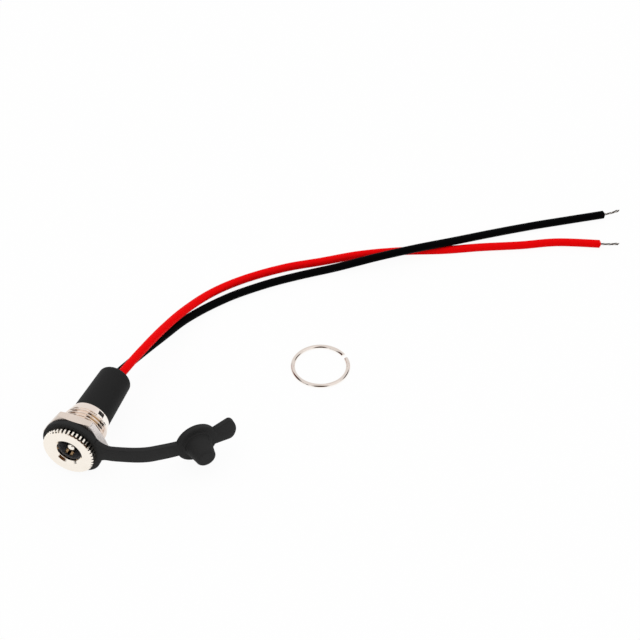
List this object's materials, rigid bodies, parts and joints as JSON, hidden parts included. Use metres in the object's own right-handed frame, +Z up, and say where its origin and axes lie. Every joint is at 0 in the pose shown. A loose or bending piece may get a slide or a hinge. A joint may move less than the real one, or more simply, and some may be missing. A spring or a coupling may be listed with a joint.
{
  "type": "dc power jack",
  "caption": "Panel-mount DC power jack with knurled flange, threaded barrel, hex nut, tethered rubber cap, boot and red and black leads with bare ends, its split lock ring beside it.",
  "frame": {"origin": "on the jack's axis, in the plane of the flange's rear face, inside the front of the centre pin", "axes": "+Y along the axis from the mouth to the leads, +Z up as the jack lies on a table, +X towards the cap"},
  "size_m": [0.1167, 0.1487, 0.016],
  "materials": {
    "nickel_plate": "bright nickel plate on turned brass",
    "black_lining": "moulded, semi-gloss",
    "nickel_pin": "bright nickel plate",
    "tinned_brass": "tinned",
    "spring_bronze": "rolled bronze strip",
    "nickel_nut": "bright nickel plate",
    "black_rubber": "moulded, matt",
    "boot_pvc": "shrunk tubing, matt",
    "red_pvc": "extruded jacket, smooth",
    "black_pvc": "extruded jacket, smooth",
    "tinned_strands": "tinned copper strands, twisted",
    "solder": "solder, smooth",
    "nickel_ring": "bright nickel plate on spring steel"
  },
  "bodies": {
    "jack": {"threaded_shell": "nickel_plate", "insulator": "black_lining", "centre_pin": "nickel_pin", "pin_tag": "tinned_brass", "sleeve_spring": "spring_bronze", "dust_cap": "black_rubber", "shrink_boot": "boot_pvc", "red_core": "tinned_strands", "black_core": "tinned_strands", "pin_solder": "solder", "sleeve_solder": "solder", "red_wire": "red_pvc", "black_wire": "black_pvc", "red_bare_end": "tinned_strands", "black_bare_end": "tinned_strands", "lock_ring": "nickel_ring"},
    "nut": {"hex_nut": "nickel_nut"}
  },
  "joints": [
    {"name": "nut_travel", "type": "slide", "parent": "jack", "child": "nut", "axis": [0, 1, 0], "range_m": [0, 0.0045]}
  ]
}
